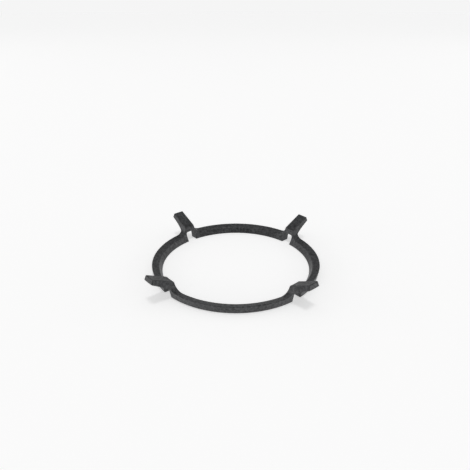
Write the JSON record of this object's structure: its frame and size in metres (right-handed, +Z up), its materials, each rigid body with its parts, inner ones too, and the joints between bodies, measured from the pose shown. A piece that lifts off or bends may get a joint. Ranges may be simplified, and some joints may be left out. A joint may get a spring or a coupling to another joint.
{
  "type": "wok ring",
  "caption": "Cast-iron wok ring for a gas hob: a low round ring with slotted arms that rise outwards and seat a round-bottomed wok over the burner.",
  "frame": {"origin": "middle of the ring on the plane it stands on", "axes": "+Z up along the ring's axis; the arms lie along +X, +Y, -X and -Y"},
  "size_m": [0.284, 0.284, 0.036],
  "materials": {
    "cast_iron": "matt charcoal, lightly grained"
  },
  "bodies": {
    "root": {"wok_ring": "cast_iron"}
  },
  "joints": []
}
